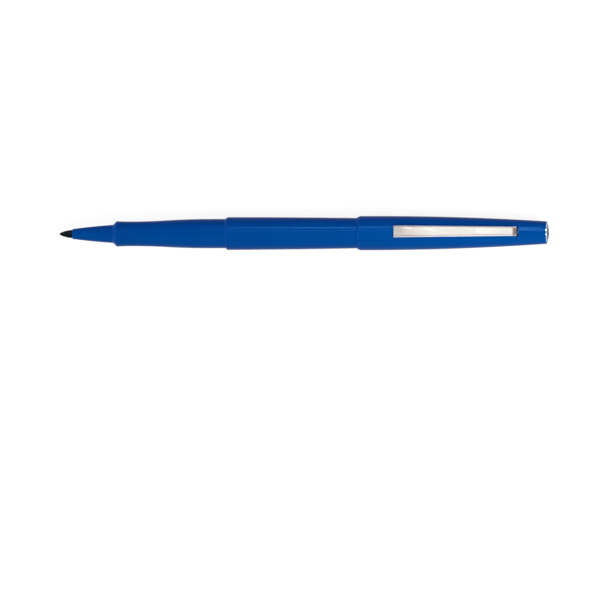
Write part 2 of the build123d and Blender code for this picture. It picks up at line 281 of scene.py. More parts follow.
# %% Square lamps
def square_lamp(name, side, energy, place, target, tint=(1.0, 1.0, 1.0), mirrored=True):
    """A square lamp at a place, turned towards a target: its -Z axis points from one to the other."""
    lamp = bpy.data.objects.new(name, bpy.data.lights.new(name, "AREA"))
    lamp.data.size = side
    lamp.data.energy = energy
    lamp.data.color = tint
    lamp.location = place
    lamp.rotation_euler = (Vector(target) - Vector(place)).to_track_quat("-Z", "Y").to_euler()
    lamp.visible_glossy = mirrored
    bpy.context.scene.collection.objects.link(lamp)


PEN_MIDDLE = (0.075, 0, 0)
CAP_FRONT = (0.11, 0, 0)
WARM, COOL = (1.0, 0.98, 0.84), (0.15, 0.2, 1.0)
square_lamp("soft_box", 0.12, 1.05, (0.29, -0.12, 0.22), CAP_FRONT, tint=WARM)
square_lamp("fill", 0.2, 2.6, (-0.6, -0.05, 0.16), PEN_MIDDLE, mirrored=False)
square_lamp("far_fill", 0.2, 0.42, (0.075, 0.5, 0.08), PEN_MIDDLE, tint=COOL, mirrored=False)

# %% [markdown]
# ## Effects that several finishes share
# A group is a small graph with named sockets. Each one here puts out plain numbers: how high the skin
# stands, how its tone drifts, where hands have marked it, where an edge is rubbed. Every material then
# uses them with its own sizes. Sizes are given as waves per metre, because object coordinates are metres.


# %% Group maker
def effect(name, inputs, outputs):
    """An empty node group with float sockets. Gives the tree, its input sockets and its output sockets."""
    tree = bpy.data.node_groups.new(name, "ShaderNodeTree")
    for label, value in inputs.items():
        socket = tree.interface.new_socket(label, in_out="INPUT", socket_type="NodeSocketFloat")
        socket.default_value = value
    for label in outputs:
        tree.interface.new_socket(label, in_out="OUTPUT", socket_type="NodeSocketFloat")
    return tree, tree.nodes.new("NodeGroupInput").outputs, tree.nodes.new("NodeGroupOutput").inputs


def use(tree, group, **values):
    """Place a group in a material and set its inputs. Gives its output sockets."""
    node = tree.nodes.new("ShaderNodeGroup")
    node.node_tree = group
    for name, value in values.items():
        node.inputs[name].default_value = value
    return node.outputs


def stretched(tree, along_x, across=1.0):
    """Object coordinates, scaled by one number along the pen and another across it."""
    place = add(tree, "TexCoord").outputs["Object"]
    scale = (along_x, across, across)
    return add(tree, "VectorMath", {0: place, 1: scale}, operation="MULTIPLY").outputs[0]


def noise(tree, vector, scale, detail=2.0, rough=0.5):
    """Smooth noise between 0 and 1."""
    sizes = {"Vector": vector, "Scale": scale, "Detail": detail, "Roughness": rough}
    return add(tree, "TexNoise", sizes).outputs[0]


# %% [markdown]
# A moulded skin is never quite flat: it has a fine orange peel, and faint lines along the way the piece
# was drawn out of its mould. Its dye isn't quite even either, and drifts in soft clouds and long streaks.
# Noise gives all four. Squeezing its coordinate along the pen turns spots into lines, and unlike a
# picture of a skin, noise needs no unwrapping.

# %% Moulded skin
PEEL_SHARE, DRAW_SHARE = 0.6, 0.4
DRAW_SQUEEZE, CLOUD_SQUEEZE, STREAK_SQUEEZE = 0.012, 0.25, 0.004
CLOUD_SCALE, STREAK_SCALE = 260.0, 1700.0
moulded_skin, given, made = effect("moulded_skin", {"Peel": 2200.0, "Draw": 5200.0}, ("Height", "Tone"))
peel = noise(moulded_skin, stretched(moulded_skin, 1.0), given["Peel"])
draw = noise(moulded_skin, stretched(moulded_skin, DRAW_SQUEEZE), given["Draw"], 3.0)
drawn_lines = math(moulded_skin, "MULTIPLY", draw, DRAW_SHARE)
height = math(moulded_skin, "ADD", math(moulded_skin, "MULTIPLY", peel, PEEL_SHARE), drawn_lines)
cloud = noise(moulded_skin, stretched(moulded_skin, CLOUD_SQUEEZE), CLOUD_SCALE, 3.0)
streak = noise(moulded_skin, stretched(moulded_skin, STREAK_SQUEEZE), STREAK_SCALE, 1.0)
drift = math(moulded_skin, "MULTIPLY", math(moulded_skin, "ADD", cloud, streak), 0.5)
moulded_skin.links.new(height, made["Height"])
moulded_skin.links.new(drift, made["Tone"])
print("moulded skin puts out", [socket.name for socket in made if socket.name])

# %% [markdown]
# Hands leave smudges, where the gloss is duller, and a few hair scratches. A smudge is noise that is cut
# off at a level. A scratch is the thin line where a second noise, stretched and turned out of the pen's
# direction, passes through its middle value. A third noise leaves most of the scratches out.

# %% Handling marks
SMUDGE_FROM, SMUDGE_TO = 0.48, 0.72
SCRATCH_TURN, SCRATCH_STRETCH = (0.5, 0.3, 0.35), (0.06, 1.0, 1.0)
HAIR_WIDTH = 0.012
SPARSE_SCALE, SPARSE_FROM, SPARSE_TO = 170.0, 0.5, 0.66
handling, given, made = effect("handling", {"Smudge": 130.0, "Scratch": 420.0}, ("Smudge", "Scratch"))
smear = noise(handling, stretched(handling, 0.6), given["Smudge"], 4.0, 0.62)
handling.links.new(ramp(handling, smear, SMUDGE_FROM, SMUDGE_TO), made["Smudge"])
turned_way = add(handling, "Mapping", {
    "Vector": add(handling, "TexCoord").outputs["Object"],
    "Rotation": SCRATCH_TURN,
    "Scale": SCRATCH_STRETCH,
}).outputs[0]
wave = noise(handling, turned_way, given["Scratch"])
from_middle = math(handling, "ABSOLUTE", math(handling, "SUBTRACT", wave, 0.5))
hair = ramp(handling, from_middle, 0.0, HAIR_WIDTH, 1.0, 0.0)
patches = noise(handling, stretched(handling, 1.0), SPARSE_SCALE)
sparse = ramp(handling, patches, SPARSE_FROM, SPARSE_TO)
handling.links.new(math(handling, "MULTIPLY", hair, sparse), made["Scratch"])
print("handling puts out", [socket.name for socket in made if socket.name])

# %% [markdown]
# Corners that rub in a pocket go pale or bright first. The meshes further down carry a number called rub,
# which is 1 on their rounded corners and 0 elsewhere. Fine noise breaks it up, so that the wear looks
# patchy and not laid on evenly. On the blue plastic the pale corners are also a painted highlight on the
# lips.

# %% Rubbed edges
BROKEN_FROM, BROKEN_TO = 0.35, 0.65
rubbed, given, made = effect("rubbed", {"Grain": 3000.0}, ("Mask",))
edge = add(rubbed, "Attribute", attribute_name="rub").outputs["Fac"]
grains = noise(rubbed, stretched(rubbed, 1.0), given["Grain"], 3.0)
broken = ramp(rubbed, grains, BROKEN_FROM, BROKEN_TO)
rubbed.links.new(math(rubbed, "MULTIPLY", edge, broken), made["Mask"])
print("groups:", [g.name for g in bpy.data.node_groups])

# %% [markdown]
# ## Finishes
# Each finish is a Principled shader. What is the same all over is typed into the shader; what changes
# over the surface comes from the groups.


# %% Material maker
def finish(name, **settings):
    """A material with one Principled shader; settings go into its sockets by name."""
    material = bpy.data.materials.new(name)
    material.use_nodes = True
    tree = material.node_tree
    tree.nodes.clear()
    shader = add(tree, "BsdfPrincipled", {k.replace("_", " "): v for k, v in settings.items()})
    add(tree, "OutputMaterial", {"Surface": shader.outputs[0]})
    print("finish:", name)
    return material, tree, shader


def relief(tree, shader, height, depth):
    """Turn a height between 0 and 1 into small slopes, depth being its real height in metres."""
    bump = add(tree, "Bump", {"Height": height, "Distance": depth, "Strength": 1.0})
    tree.links.new(bump.outputs[0], shader.inputs["Normal"])


def feed(tree, socket, shader, name):
    """Link a socket to the shader's input of that name."""
    tree.links.new(socket, shader.inputs[name])


# %% [markdown]
# The body and the cap are moulded in a deep, saturated blue. The dye also colours what the surface
# mirrors when it is seen straight on, so the specular tint is blue and only the rims mirror white.

# %% Blue plastic
DEEP_BLUE = colour(0.0, 0.0352, 0.203)
FULL_BLUE = colour(0.0, 0.0600, 0.271)
WORN_AND_HIGHLIGHT_BLUE = colour(0.020, 0.100, 0.360)
BLUE_SHINE = colour(0.115, 0.43, 1.0)
WORN_AND_HIGHLIGHT_SHARE, SCRATCH_SHARE = 0.35, 0.5
BLUE_ROUGH, SMUDGE_ROUGH, RUBBED_ROUGH = 0.13, 0.08, 0.12
BLUE_DEPTH = 2.2e-6
blue_plastic, tree, shader = finish(
    "blue_moulded_plastic", IOR=1.4, Specular_IOR_Level=0.05, Specular_Tint=BLUE_SHINE,
)
skin, marks, worn = use(tree, moulded_skin), use(tree, handling), use(tree, rubbed)
dyed = blend(tree, skin["Tone"], DEEP_BLUE, FULL_BLUE)
# Paler rounded corners: partly wear, partly a painted highlight on the lips of the steps.
worn_and_highlighted = math(tree, "MULTIPLY", worn["Mask"], WORN_AND_HIGHLIGHT_SHARE)
feed(tree, blend(tree, worn_and_highlighted, dyed, WORN_AND_HIGHLIGHT_BLUE), shader, "Base Color")
gloss = line(tree, marks["Smudge"], SMUDGE_ROUGH, BLUE_ROUGH)
gloss = math(tree, "ADD", gloss, math(tree, "MULTIPLY", worn["Mask"], RUBBED_ROUGH))
feed(tree, gloss, shader, "Roughness")
scored = math(tree, "SUBTRACT", skin["Height"], math(tree, "MULTIPLY", marks["Scratch"], SCRATCH_SHARE))
relief(tree, shader, scored, BLUE_DEPTH)

# %% [markdown]
# The nib is a rod of bonded fibres, black with ink. Noise that is stretched along the pen gives the
# fibres, and because it is cut by the cone of the point, their ends show there as they do on a real one.

# %% Nib fibre
INK_BLACK = colour(0.0004, 0.002, 0.004)
INK_GREY = colour(0.002, 0.008, 0.016)
STRAND_SCALE, FUZZ_SCALE = 9000.0, 14000.0
STRAND_FROM, STRAND_TO = 0.35, 0.7
NIB_ROUGH, FUZZ_ROUGH, FUZZ_HEIGHT = 0.45, 0.3, 0.4
NIB_DEPTH = 3e-5
nib_fibre, tree, shader = finish("inked_fibre", IOR=1.15)
strands = noise(tree, stretched(tree, 0.05), STRAND_SCALE, 2.0, 0.6)
fuzz = noise(tree, stretched(tree, 0.5), FUZZ_SCALE, 3.0)
inked = blend(tree, ramp(tree, strands, STRAND_FROM, STRAND_TO), INK_BLACK, INK_GREY)
feed(tree, inked, shader, "Base Color")
feed(tree, line(tree, fuzz, FUZZ_ROUGH, NIB_ROUGH), shader, "Roughness")
relief(tree, shader, math(tree, "ADD", strands, math(tree, "MULTIPLY", fuzz, FUZZ_HEIGHT)), NIB_DEPTH)

# %% [markdown]
# The clip and the button are polished metal. A polished metal still shows fine lines from its making,
# a little soil where it is smudged and bright corners where it is rubbed. Both pieces share this recipe
# and differ in how their lines run and in their tint, which carries painted reflections.


# %% Polished metal
SOIL, RUBBED_BRIGHT = colour(0.2, 0.19, 0.18), colour(0.95, 0.95, 0.95)
SOIL_SHARE, GROOVE_SHARE = 0.12, 0.6
METAL_ROUGH, SOIL_ROUGH, LINE_ROUGH = 0.07, 0.07, 0.06
METAL_DEPTH = 1.5e-6


def bright_metal(name, lines, tint, slanting):
    """A polished metal. lines gives the height of its fine lines, tint its colour with any painted
    reflections.

    slanting is the tint of what it mirrors when it is seen at a slant.
    """
    material, tree, shader = finish(name, Metallic=1.0, Specular_Tint=slanting)
    height = lines(tree)
    marks = use(tree, handling, Smudge=300.0, Scratch=900.0)
    worn = use(tree, rubbed, Grain=2000.0)
    soiled = blend(tree, math(tree, "MULTIPLY", marks["Smudge"], SOIL_SHARE), tint(tree), SOIL)
    feed(tree, blend(tree, worn["Mask"], soiled, RUBBED_BRIGHT), shader, "Base Color")
    gloss = line(tree, marks["Smudge"], SOIL_ROUGH, METAL_ROUGH)
    feed(tree, math(tree, "ADD", gloss, math(tree, "MULTIPLY", height, LINE_ROUGH)), shader, "Roughness")
    grooves = math(tree, "MULTIPLY", marks["Scratch"], GROOVE_SHARE)
    relief(tree, shader, math(tree, "SUBTRACT", height, grooves), METAL_DEPTH)
    return material


# %% [markdown]
# The clip is stamped from bright strip and keeps fine lines from rolling, along its length. Its free end
# is painted a little darker, as painted shade, and its bend is painted browner, as a painted reflection.
# So its tint follows the place along the pen, with soft clouds on top.


# %% Clip metal
# Painted shade: the free end is tinted darker. Painted reflection: the bend is tinted brown.
PAINTED_SHADE_LOW, PAINTED_SHADE_HIGH = colour(0.67, 0.61, 0.565), colour(0.785, 0.715, 0.67)
FRESH_LOW, FRESH_HIGH = colour(0.86, 0.83, 0.765), colour(0.975, 0.945, 0.885)
PAINTED_BEND_REFLECTION = colour(0.50, 0.42, 0.40)
PAINTED_SHADE_TO, FRESH_FROM = 106.5 * MM, 116 * MM
BEND_REFLECTION_FROM, BEND_REFLECTION_TO = 139.6 * MM, 140.5 * MM


def rolled_lines(tree):
    """Noise that is drawn out a hundredfold along the pen."""
    return noise(tree, stretched(tree, 0.01), 7000.0, 3.0, 0.6)


def tint_with_painted_light(tree):
    """A cloudy tint: painted shade before one station, the plain metal after another, a painted brown
    reflection past the last.
    """
    cloud = noise(tree, stretched(tree, 0.3), 700.0)
    along = add(tree, "SeparateXYZ", {0: stretched(tree, 1.0)}).outputs[0]
    foot_shade = blend(tree, cloud, PAINTED_SHADE_LOW, PAINTED_SHADE_HIGH)
    fresh = blend(tree, cloud, FRESH_LOW, FRESH_HIGH)
    strip_tint = blend(tree, ramp(tree, along, PAINTED_SHADE_TO, FRESH_FROM), foot_shade, fresh)
    return blend(tree, ramp(tree, along, BEND_REFLECTION_FROM, BEND_REFLECTION_TO), strip_tint, PAINTED_BEND_REFLECTION)


clip_metal = bright_metal("rolled_metal", rolled_lines, tint_with_painted_light, colour(1, 1, 1))

# %% [markdown]
# The button in the cap's end is spun, so its lines run in rings: noise that reads only the distance from
# the axis. The same distance paints a dark reflection over the middle and a bright painted reflection in a
# ring round it.


# %% Button metal
# Painted reflections: a dark middle and a bright ring, in the base colour.
PAINTED_DARK_REFLECTION, PAINTED_BRIGHT_RING = colour(0.015, 0.04, 0.11), colour(0.66, 0.84, 1.00)
RING_FROM, RING_TO = 2.13 * MM, 2.23 * MM


def axis_distance(tree):
    """Distance of a point from the pen's axis, in metres: the length of its place with x left out."""
    return add(tree, "VectorMath", {0: stretched(tree, 0.0)}, operation="LENGTH").outputs["Value"]


def spun_rings(tree):
    """Noise along the distance from the axis."""
    return noise(tree, add(tree, "CombineXYZ", {0: axis_distance(tree)}).outputs[0], 9000.0, 3.0)


def painted_reflection_tint(tree):
    """A painted dark reflection near the axis, a painted bright reflection in a ring further out."""
    return blend(tree, ramp(tree, axis_distance(tree), RING_FROM, RING_TO), PAINTED_DARK_REFLECTION, PAINTED_BRIGHT_RING)


button_metal = bright_metal("spun_metal", spun_rings, painted_reflection_tint, colour(0.22, 0.27, 0.36))

# %% [markdown]
# The pieces inside are plain, and show when the cap is pulled off or the pen is cut. The nib's sleeve and
# the cap's liner are natural plastic, which has no dye and a coarser skin.

# %% Natural plastic
MILKY, PALE_MILKY = colour(0.68, 0.68, 0.63), colour(0.78, 0.78, 0.75)
natural_plastic, tree, shader = finish("natural_plastic", IOR=1.5)
skin, marks = use(tree, moulded_skin, Peel=1500.0, Draw=3000.0), use(tree, handling)
feed(tree, blend(tree, skin["Tone"], MILKY, PALE_MILKY), shader, "Base Color")
feed(tree, line(tree, marks["Smudge"], factor=0.15, offset=0.38), shader, "Roughness")
relief(tree, shader, skin["Height"], depth=6e-6)

# %% [markdown]
# The ink core is a bundle of loose fibres, soaked blue. As on the nib, stretched noise gives the fibres,
# and a little sheen the soft light at its edges.

# %% Ink core
SOAKED, DRAINED = colour(0.003, 0.012, 0.075), colour(0.020, 0.060, 0.270)
ink_fibre, tree, shader = finish("ink_core_fibre", Sheen_Weight=0.15)
strands = noise(tree, stretched(tree, 0.06), 5200.0, 3.0, 0.6)
feed(tree, blend(tree, strands, SOAKED, DRAINED), shader, "Base Color")
feed(tree, ramp(tree, strands, 0.2, 0.8, start=0.9, end=0.65), shader, "Roughness")
relief(tree, shader, strands, depth=4e-5)

# %% [markdown]
# A clear film is wrapped round the core. It lets most light through, and its creases change its gloss.

# %% Clear film
FILM, PALE_FILM = colour(0.80, 0.86, 0.92), colour(0.92, 0.95, 0.97)
clear_film, tree, shader = finish("clear_wrap", Transmission_Weight=0.85, IOR=1.46)
creases = noise(tree, stretched(tree, 0.15), 900.0, 3.0)
feed(tree, blend(tree, creases, FILM, PALE_FILM), shader, "Base Color")
feed(tree, ramp(tree, creases, 0.3, 0.7, start=0.06, end=0.22), shader, "Roughness")
relief(tree, shader, creases, depth=2e-5)

# %% [markdown]
# ## Turned pieces
# Almost every piece of a pen is round. Its side view is an outline, a row of stations along the axis
# with a radius at each, and the piece is that outline carried once round the axis. Spin or a Screw
# modifier could do that too, but computed points give exact control. The long curves of a pen are arcs,
# so these helpers come first. Lengths in the outlines are millimetres.


# %% Arcs
def tangent_arc(start, end, heading, count):
    """Points of the circle that leaves start along heading and runs to end.

    The centre lies square to the heading, at half the squared chord over the chord's sideways part.
    """
    start, end = np.array(start, float), np.array(end, float)
    side = np.array([-heading[1], heading[0]]) / np.hypot(*heading)
    chord = end - start
    radius = chord @ chord / (2 * chord @ side)
    centre = start + side * radius
    first = np.arctan2(*(start - centre)[::-1])
    last = np.arctan2(*(end - centre)[::-1])
    turn = (last - first + pi) % (2 * pi) - pi
    angle = first + turn * np.linspace(0, 1, count)
    return centre + abs(radius) * np.c_[np.cos(angle), np.sin(angle)]


def arc_through(start, middle, end, count):
    """Points of the circle through three points; its centre is as far from each of them."""
    a, b, c = (np.array(p, float) for p in (start, middle, end))
    centre = np.linalg.solve(2 * np.array([b - a, c - a]), [b @ b - a @ a, c @ c - a @ a])
    spoke = a - centre
    heading = np.array([-spoke[1], spoke[0]])
    return tangent_arc(a, c, heading if heading @ (b - a) > 0 else -heading, count)


def smooth(points):
    """Points of an arc as outline corners with no rounding."""
    return [(x, r, 0.0) for x, r in points]


# %% [markdown]
# Corners of real mouldings are never sharp, and the small rounds are what catches the light. So an
# outline is written as corners with a rounding size each, and the arcs are worked out from them. A Bevel
# modifier would round every corner alike.


# %% Rounded outlines
ARC_POINTS = 6
SIDE_SHARE = 0.45
FLAT_REACH = 1.35


def unit(vector):
    """A vector over its own length."""
    return vector / np.linalg.norm(vector)


def rounded(corners):
    """An outline whose corners (x, radius, rounding) are replaced by arcs.

    An arc of the given size leaves both sides at the same distance from the corner. One more point is
    set on each side of it, so that the shading of the flat parts stays flat. Gives the points and a
    mask that is 1 on the arcs of outward corners. The material lies to the right of the outline.
    """
    spots = np.array([c[:2] for c in corners], float)
    points, mask = [], []
    for k, size in enumerate(c[2] for c in corners):
        if size == 0 or k in (0, len(corners) - 1):
            points.append(spots[k][None])
            mask.append([0.0])
            continue
        into, out = spots[k - 1] - spots[k], spots[k + 1] - spots[k]
        u, v = unit(into), unit(out)
        half = np.arccos(np.clip(u @ v, -1, 1)) / 2
        most = SIDE_SHARE * min(np.hypot(*into), np.hypot(*out))
        reach = min(size / tan(half), most)
        fade = np.array([FLAT_REACH, 1.0]) * reach
        share = np.linspace(0, 1, ARC_POINTS)[1:-1, None]
        centre = spots[k] + unit(u + v) * reach / cos(half)
        first, last = spots[k] + u * reach - centre, spots[k] + v * reach - centre
        sweep = pi - 2 * half
        arc = centre + (np.sin((1 - share) * sweep) * first + np.sin(share * sweep) * last) / sin(sweep)
        points.append(np.vstack([spots[k] + fade[:, None] * u, arc, spots[k] + fade[::-1, None] * v]))
        outward = float(u[0] * v[1] - u[1] * v[0] > 0)
        mask.append([0.0] + [outward] * ARC_POINTS + [0.0])
    return np.vstack(points), np.concatenate(mask)


# %% [markdown]
# The outline, carried round the axis, is a grid of points, and the grid needs faces. Quads join
# neighbouring rows and columns; a row that lies on the axis is a single point, so its quads become
# triangles and the pole is closed.


# %% Grid and faces
TINY = 1e-9


def ring_grid(outline, angle):
    """Carry an outline round the axis: the point at row i and angle a is (x, r sin a, r cos a)."""
    x, radius = (outline[:, k, None] * MM for k in (0, 1))
    return np.stack(np.broadcast_arrays(x, radius * np.sin(angle), radius * np.cos(angle)), -1)


def ring_faces(points, closed):
    """Faces between the rows of a grid that runs round the axis, and the vertex numbers of its points.

    Row i and column j give the quad i j, i+1 j, i+1 j+1, i j+1. A row on the axis is one vertex.
    """
    rows, columns = points.shape[:2]
    number = np.arange(rows * columns).reshape(rows, columns)
    pole = np.abs(points[:, :, 1:]).max((1, 2)) < TINY
    number[pole] = number[pole][:, :1]
    first, second = number, np.roll(number, -1, 0)
    if not closed:
        first, second = first[:-1], second[:-1]
    faces = np.stack([first, second, np.roll(second, -1, 1), np.roll(first, -1, 1)], -1)
    return faces, number


# %% [markdown]
# A piece is a mesh with a finish that stands for a CAD node and moves with the node's body. Smooth
# shading hides the facets, and edges that turn by more than a set angle stay sharp.


# %% From points to piece
SHARP_TURN = radians(22)
COLUMNS = 144
ROUND = np.arange(COLUMNS) * 2 * pi / COLUMNS


def make_piece(name, points, faces, material, body, node, rub):
    """Put points and faces into a mesh that stands for a CAD node and rides on its body.

    A vertex that a face names twice is dropped from it, and so is a vertex that no face uses.
    """
    faces = [f[np.sort(np.unique(f, return_index=True)[1])] if len(set(f)) < len(f) else f for f in faces]
    used = np.unique(np.concatenate(faces))
    place = np.full(len(points), -1)
    place[used] = np.arange(len(used))
    mesh = bpy.data.meshes.new(name)
    mesh.from_pydata(points[used].tolist(), [], [place[f].tolist() for f in faces])
    mesh.polygons.foreach_set("use_smooth", np.ones(len(mesh.polygons), bool))
    mesh.set_sharp_from_angle(angle=SHARP_TURN)
    mesh.attributes.new("rub", "FLOAT", "POINT").data.foreach_set("value", rub[used].astype(np.float32))
    mesh.materials.append(material)
    mesh.validate()
    piece = bpy.data.objects.new(name, mesh)
    bpy.context.scene.collection.objects.link(piece)
    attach(piece, body)
    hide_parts(node)
    print(name, "has", len(mesh.polygons), "faces")


def turned_piece(name, corners, material, node, body, closed=False, ripple=None):
    """Make a piece from its outline; ripple(outline, angle) moves its points, in millimetres."""
    outline, mask = rounded(corners)
    points = ring_grid(outline, ROUND)
    if ripple is not None:
        points = points + ripple(outline, ROUND) * MM
    faces, _ = ring_faces(points, closed)
    rub = np.repeat(mask, COLUMNS)
    make_piece(name, points.reshape(-1, 3), faces.reshape(-1, 4), material, body, node, rub)


# %% [markdown]
# ## Nib
# A blunt ball point, a bulged cone and a straight rod that goes on inside the pen. Its sides carry
# shallow ridges where bundles of fibre stand proud. They are waves round the rod that drift slowly along
# it, and they fade to nothing at the tip.

# %% Nib
_, high = (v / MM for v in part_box("nib"))
NIB_RADIUS = high.z
TIP_RADIUS, TIP_ANGLE = 0.42, radians(25)
NIB_REACH, NIB_TAIL_RADIUS, NIB_TAIL_LENGTH = 4.0, 0.65, 3.0
RIDGE_HEIGHT = 0.018
ball_angle = np.linspace(pi, pi / 2 + TIP_ANGLE, 12)
ball = TIP_RADIUS * np.c_[1 + np.cos(ball_angle), np.sin(ball_angle)]
flank = tangent_arc(ball[-1], (NIB_REACH, NIB_RADIUS), (cos(TIP_ANGLE), sin(TIP_ANGLE)), 40)
nib_corners = [
    *smooth(ball),
    *smooth(flank[1:]),
    (high.x - NIB_TAIL_LENGTH, NIB_RADIUS, 0.2),
    (high.x, NIB_TAIL_RADIUS, 0.1),
    (high.x, 0.0, 0.0),
]


def fibre_ridges(outline, angle):
    """Inward grooves: a product of waves round the rod, never above the rod's own radius."""
    x, radius = outline[:, 0, None], outline[:, 1, None]
    wave = np.sin(17 * angle + 0.9 * np.sin(0.8 * x)) * np.sin(29 * angle + 1.7 + 0.5 * x)
    depth = RIDGE_HEIGHT * np.clip(radius / NIB_RADIUS, 0, 1) ** 2 * (0.5 * wave - 0.5)
    return np.stack(np.broadcast_arrays(0 * wave, depth * np.sin(angle), depth * np.cos(angle)), -1)


turned_piece("nib_point", nib_corners, nib_fibre, "nib", "pen", ripple=fibre_ridges)

# %% [markdown]
# ## Front section
# One moulding: a slim nose cone with a rounded rim, a sharp shoulder that the cap seals on, a grip that
# narrows to a waist and swells again, and a plain land that the cap slides over. The grip is two arcs
# that share a direction where they meet, so no line shows between them.

# %% Curves of the front section
_, high = (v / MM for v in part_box("front_section"))
LAND_RADIUS = high.z
RIM_X, FOOT_X, SHOULDER_X, WAIST_X, LAND_X, STEP_X = 4.0, 16.4, 17.6, 22.0, 45.85, 51.05
NIB_BORE, RIM_RADIUS, NOSE_RADIUS, SHOULDER_RADIUS, WAIST_RADIUS = 1.28, 1.54, 2.79, 3.88, 3.77
TENON_RADIUS, CORE_BORE, SLEEVE_BORE = 3.80, 3.15, 1.75
SLEEVE_X, FLANGE_X = 9.4, 23.5
SNAP_FROM, SNAP_TO, SNAP_HEIGHT = 56.05, 57.05, 0.12
NOSE_BULGE, FLARE_TURN = 0.1, 0.46
waist = np.array([WAIST_X, WAIST_RADIUS])
land = np.array([LAND_X, LAND_RADIUS])
flare = waist + (land - waist) * FLARE_TURN
nose_middle = ((RIM_X + FOOT_X) / 2, (RIM_RADIUS + NOSE_RADIUS) / 2 + NOSE_BULGE)
nose = arc_through((RIM_X, RIM_RADIUS), nose_middle, (FOOT_X, NOSE_RADIUS), 24)
grip_front = tangent_arc(waist, (SHOULDER_X, SHOULDER_RADIUS), (-1, 0), 14)[::-1]
hollow = tangent_arc(waist, flare, (1, 0), 24)
hollow_end = hollow[-1] - hollow[-2]
swell = tangent_arc(flare, land, hollow_end, 24)
snap_top = ((SNAP_FROM + SNAP_TO) / 2, TENON_RADIUS + SNAP_HEIGHT)
snap_ring = arc_through((SNAP_FROM, TENON_RADIUS), snap_top, (SNAP_TO, TENON_RADIUS), 9)
print("grip is", WAIST_RADIUS * 2, "mm thick at its waist and", round(LAND_RADIUS * 2, 2), "at its land")

# %% [markdown]
# The outline runs once round the wall: along the outside from the rim to the tenon that snaps into the
# barrel, and back through the bore, which is stepped for the ink core, the nib's sleeve and the nib.

# %% Front section
section_corners = [
    (RIM_X + 1.0, NIB_BORE, 0.0),
    (RIM_X, NIB_BORE, 0.06),
    (RIM_X, RIM_RADIUS, 0.13),
    *smooth(nose[1:-1]),
    (FOOT_X, NOSE_RADIUS, 0.12),
    (SHOULDER_X, SHOULDER_RADIUS, 0.2),
    *smooth(grip_front[1:]),
    *smooth(hollow[1:]),
    *smooth(swell[1:]),
    (STEP_X, LAND_RADIUS, 0.05),
    (STEP_X, TENON_RADIUS, 0.05),
    *smooth(snap_ring),
    (high.x, TENON_RADIUS, 0.25),
    (high.x, CORE_BORE, 0.05),
    (FLANGE_X, CORE_BORE, 0.05),
    (FLANGE_X, SLEEVE_BORE, 0.05),
    (SLEEVE_X, SLEEVE_BORE, 0.05),
    (SLEEVE_X, NIB_BORE, 0.05),
    (RIM_X + 2.0, NIB_BORE, 0.0),
]
turned_piece("front_moulding", section_corners, blue_plastic, "front_section", "pen", True)

# %% [markdown]
# ## Barrel
# A tube with a rounded lip where it meets the section, then one very flat arc to the tail. Inside, six
# low ribs hold the ink core. They are part of the outline's bore: the radius is cut back over six short
# stretches of the angle.

# %% Barrel
_, high = (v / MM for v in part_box("barrel"))
BARREL_RADIUS, SEAT_RADIUS, TAIL_RADIUS = 5.03, 4.65, 3.95
BARREL_SOCKET, BARREL_BORE, RIB_HEIGHT = 3.82, 3.30, 0.20
LIP_X, MOUTH_X, SOCKET_X, TAIL_X, RIB_END_X = 51.65, 91.4, 59.15, high.x, 119.2
RIB_COUNT, RIB_HALF_WIDTH, RIB_END = 6, 0.3, 0.05
SNAP_PLAY, LIP_RISE = 0.02, 0.12
NEAR = 0.01
taper = arc_through((LIP_X, BARREL_RADIUS), (MOUTH_X, SEAT_RADIUS), (TAIL_X, TAIL_RADIUS), 48)
groove_top = (snap_top[0], BARREL_SOCKET + SNAP_HEIGHT)
groove_from, groove_to = (SNAP_TO + SNAP_PLAY, BARREL_SOCKET), (SNAP_FROM - SNAP_PLAY, BARREL_SOCKET)
barrel_corners = [
    (STEP_X + 1.0, BARREL_SOCKET, 0.0),
    (STEP_X, BARREL_SOCKET, 0.06),
    (STEP_X, LAND_RADIUS + LIP_RISE, 0.06),
    (LIP_X, BARREL_RADIUS, 0.4),
    *smooth(taper[1:-1]),
    (TAIL_X, TAIL_RADIUS, 0.3),
    (TAIL_X, BARREL_BORE, 0.05),
    (RIB_END_X, BARREL_BORE, 0.0),
    (RIB_END_X - RIB_END, BARREL_BORE, 0.0),
    (SOCKET_X + RIB_END, BARREL_BORE, 0.0),
    (SOCKET_X, BARREL_BORE, 0.0),
    (SOCKET_X, BARREL_SOCKET, 0.05),
    *smooth(arc_through(groove_from, groove_top, groove_to, 9)),
    (STEP_X + 2.0, BARREL_SOCKET, 0.0),
]


def core_ribs(outline, angle):
    """Six flat ribs: inside the bore, the radius is drawn in wherever the angle is near a sixth turn."""
    x, radius = outline[:, 0, None], outline[:, 1, None]
    sixth = 2 * pi / RIB_COUNT
    offset = np.abs((angle + sixth / 2) % sixth - sixth / 2) * radius
    ribbed = (np.abs(radius - BARREL_BORE) < NEAR) & (x > SOCKET_X + NEAR) & (x < RIB_END_X - NEAR)
    depth = -RIB_HEIGHT * ribbed * (offset < RIB_HALF_WIDTH)
    return np.stack(np.broadcast_arrays(0 * depth, depth * np.sin(angle), depth * np.cos(angle)), -1)


turned_piece("barrel_tube", barrel_corners, blue_plastic, "barrel", "pen", True, core_ribs)

# %% [markdown]
# ## End plug
# It closes the barrel's tail and is seen only when the cap is off: a flat rounded head with a small
# centre dimple, and a hollow skirt inside the tube.

